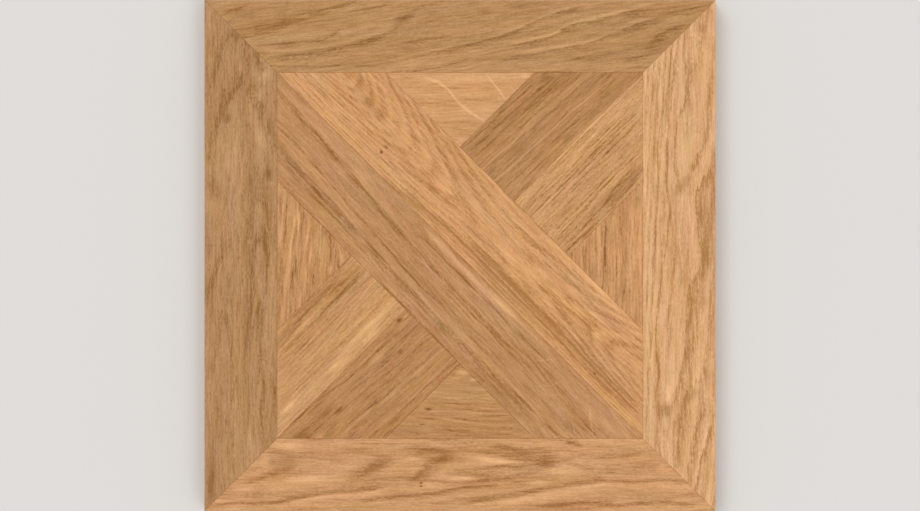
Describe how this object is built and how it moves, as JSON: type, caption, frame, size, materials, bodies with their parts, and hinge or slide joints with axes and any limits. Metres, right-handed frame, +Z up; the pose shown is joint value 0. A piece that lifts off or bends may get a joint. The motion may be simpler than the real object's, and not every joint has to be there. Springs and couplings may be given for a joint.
{
  "type": "parquet panel",
  "caption": "Square solid oak parquet floor panel: a mitred stave frame round a diagonal cross of paired staves with triangular fillings, grooved round the edge for loose tongues.",
  "frame": {"origin": "middle of the panel's flat underside, on the floor it is laid on", "axes": "+Z up out of the walking face, +X to the right and +Y to the top of the pattern, where the unbroken diagonal band runs from -X +Y to +X -Y"},
  "size_m": [0.5, 0.5, 0.02],
  "materials": {
    "frame_oak": "clear satin oil on planed oak",
    "field_oak": "clear satin oil on planed oak",
    "filling_oak": "clear satin oil on planed oak"
  },
  "bodies": {
    "root": {"frame_rail_top": "frame_oak", "frame_rail_bottom": "frame_oak", "frame_stile_left": "frame_oak", "frame_stile_right": "frame_oak", "diagonal_stave_upper": "field_oak", "diagonal_stave_lower": "field_oak", "upper_arm_stave_left": "field_oak", "upper_arm_stave_right": "field_oak", "lower_arm_stave_left": "field_oak", "lower_arm_stave_right": "field_oak", "triangle_top": "filling_oak", "triangle_right": "filling_oak", "triangle_bottom": "filling_oak", "triangle_left": "filling_oak"}
  },
  "joints": []
}
